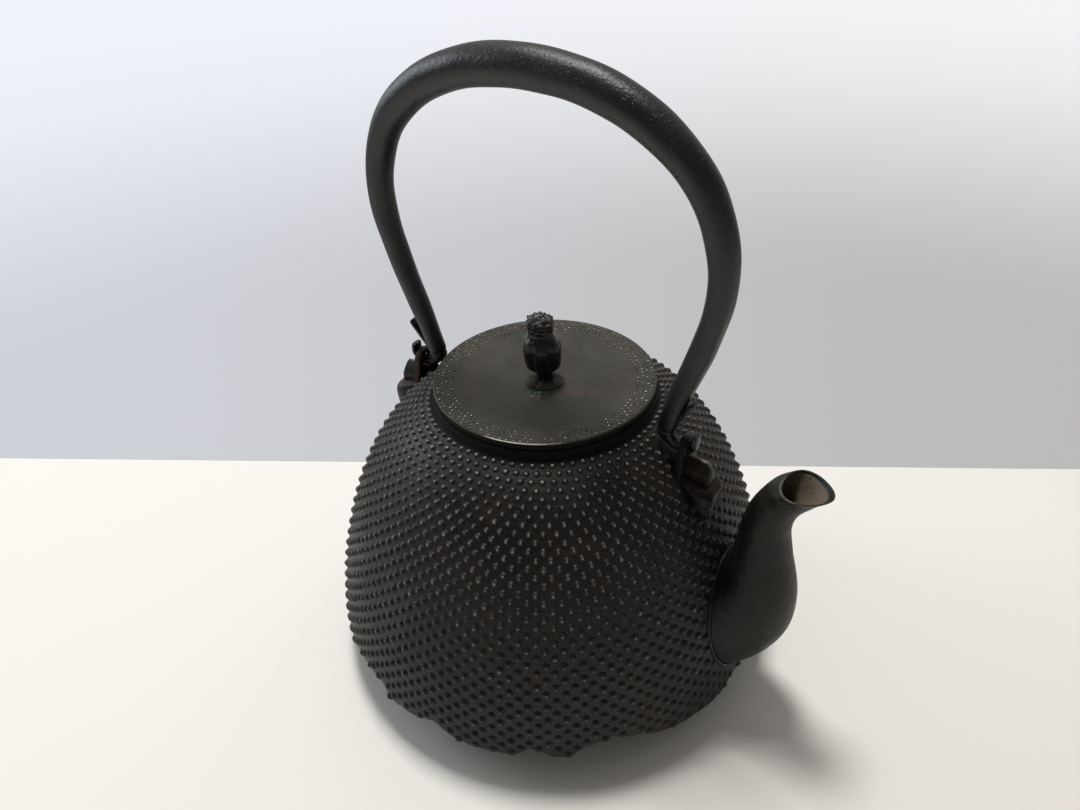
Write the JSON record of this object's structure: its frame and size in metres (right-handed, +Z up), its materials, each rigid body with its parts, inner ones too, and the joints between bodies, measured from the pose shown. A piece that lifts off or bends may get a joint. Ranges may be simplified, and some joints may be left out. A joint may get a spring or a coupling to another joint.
{
  "type": "cast iron kettle",
  "caption": "Domed cast iron kettle with a studded body, ragged skirt, curved spout, swinging hollow handle and a flat lift-off lid with a fruit-shaped knob.",
  "frame": {"origin": "centre of the flat base, on the kettle's axis", "axes": "+Z up, +X towards the spout"},
  "size_m": [0.1916, 0.1696, 0.2328],
  "materials": {
    "body_iron": "dark brown-grey lacquered iron, studded, semi-matte",
    "spout_iron": "smooth grey-brown iron, satin, rusty inside the mouth",
    "handle_iron": "near-black forged iron, satin, finely pitted",
    "lid_iron": "olive-grey patinated metal, matte, mottled",
    "knob_bronze": "almost black bronze, glossy on the ridges",
    "seal": "black lacquer and iron powder, matte"
  },
  "bodies": {
    "kettle": {"body_shell": "body_iron", "bottom_pan": "body_iron", "bottom_seam": "seal", "spout": "spout_iron", "ear_front": "spout_iron", "ear_rear": "spout_iron"},
    "lid": {"lid_plate": "lid_iron", "knob_seat": "knob_bronze", "knob": "knob_bronze", "knob_washer": "knob_bronze"},
    "handle": {"handle_tube": "handle_iron", "handle_hook_front": "handle_iron", "handle_hook_rear": "handle_iron"}
  },
  "joints": [
    {"name": "lid_lift", "type": "slide", "parent": "kettle", "child": "lid", "axis": [0, 0, 1], "range_m": [0, 0.06]},
    {"name": "handle_swing", "type": "hinge", "parent": "kettle", "child": "handle", "pos_m": [0, 0, 0.1066], "axis": [1, 0, 0], "range_deg": [-45, 45]}
  ]
}
